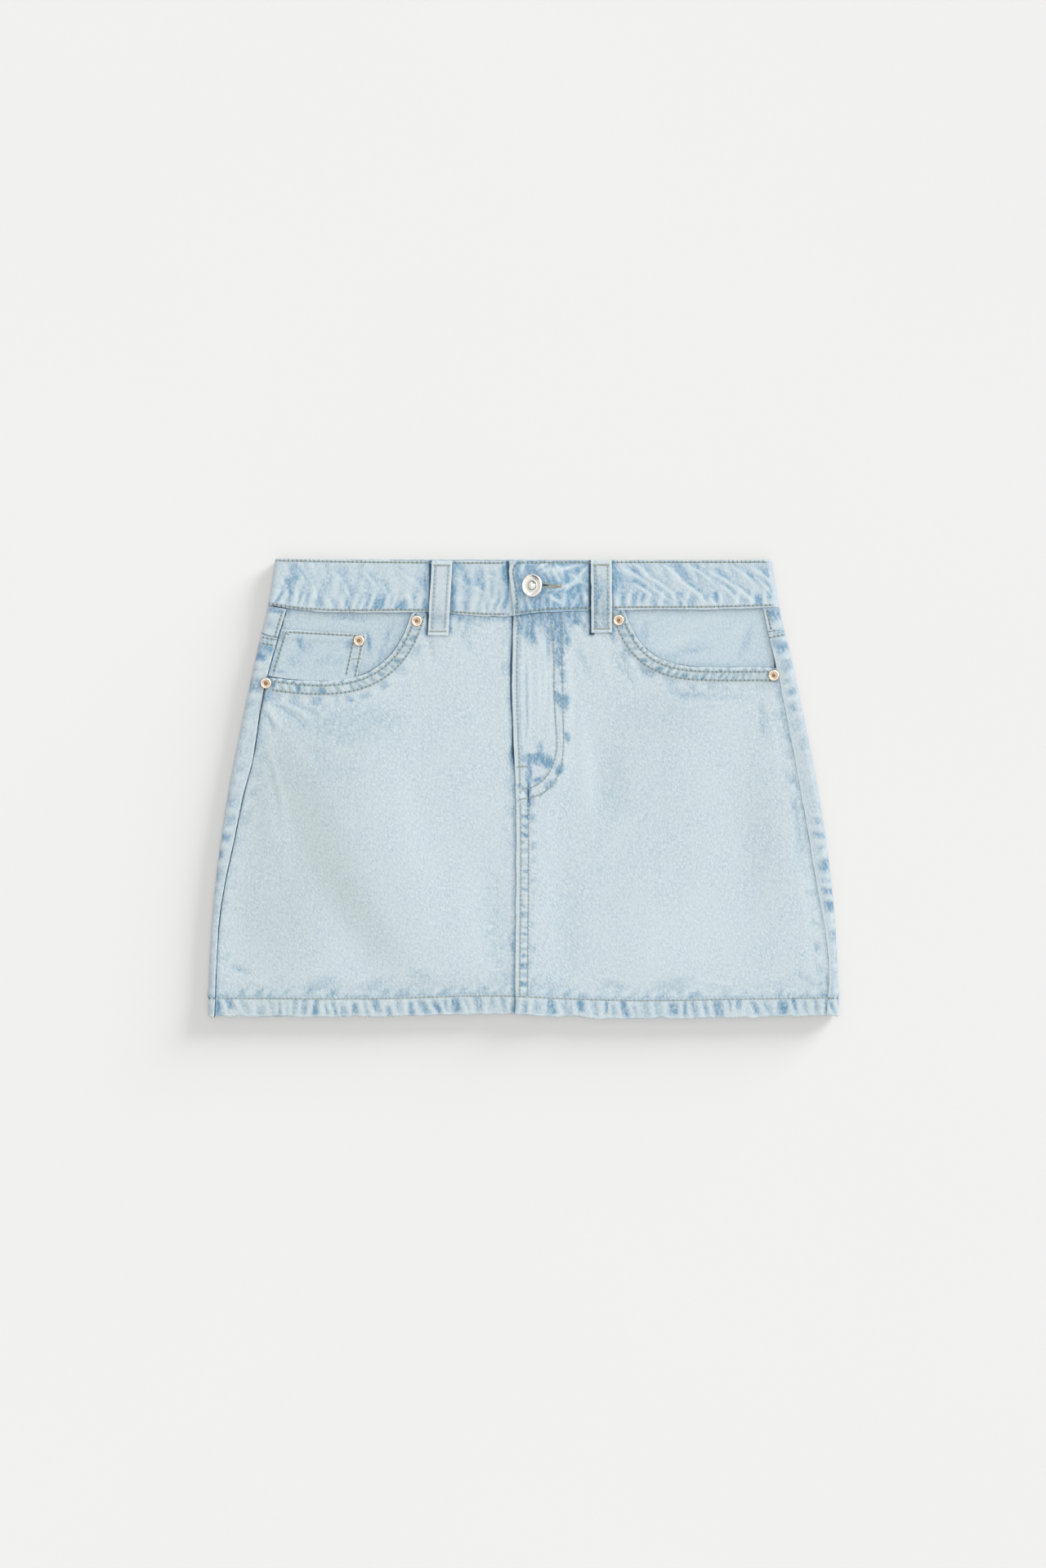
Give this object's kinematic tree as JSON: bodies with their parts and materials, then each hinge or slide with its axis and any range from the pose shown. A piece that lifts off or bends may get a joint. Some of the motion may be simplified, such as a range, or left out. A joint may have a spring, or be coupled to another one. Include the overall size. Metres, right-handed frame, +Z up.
{
  "type": "denim skirt",
  "caption": "Light blue denim mini skirt laid flat, front up, with a buttoned waistband, belt loops, scooped pockets with a coin pocket, a fly and a stitched hem.",
  "frame": {"origin": "middle of the footprint on the surface that the skirt lies on", "axes": "+X to the wearer's left, across the skirt; +Y from the hem to the waist; +Z up from the surface, out of the front"},
  "size_m": [0.4872, 0.355, 0.0194],
  "materials": {
    "denim_body": "light blue washed twill",
    "denim_waistband": "light blue washed twill with mottled wear",
    "denim_facing": "light blue washed twill, less worn",
    "button_metal": "silver, satin",
    "rivet_metal": "rose gold, satin",
    "topstitch_thread": "olive grey cotton topstitching"
  },
  "bodies": {
    "root": {"back_panel_right": "denim_body", "back_panel_left": "denim_body", "back_yoke_right": "denim_body", "back_yoke_left": "denim_body", "front_panel_right": "denim_body", "front_panel_left": "denim_body", "pocket_facing_right": "denim_facing", "pocket_facing_left": "denim_facing", "coin_pocket_right": "denim_facing", "waistband": "denim_waistband", "belt_loop_front_right": "denim_waistband", "belt_loop_front_left": "denim_waistband", "belt_loop_back_right": "denim_waistband", "belt_loop_back_centre": "denim_waistband", "belt_loop_back_left": "denim_waistband", "waist_button": "button_metal", "rivet_1": "rivet_metal", "rivet_2": "rivet_metal", "rivet_3": "rivet_metal", "rivet_4": "rivet_metal", "rivet_5": "rivet_metal"}
  },
  "joints": []
}
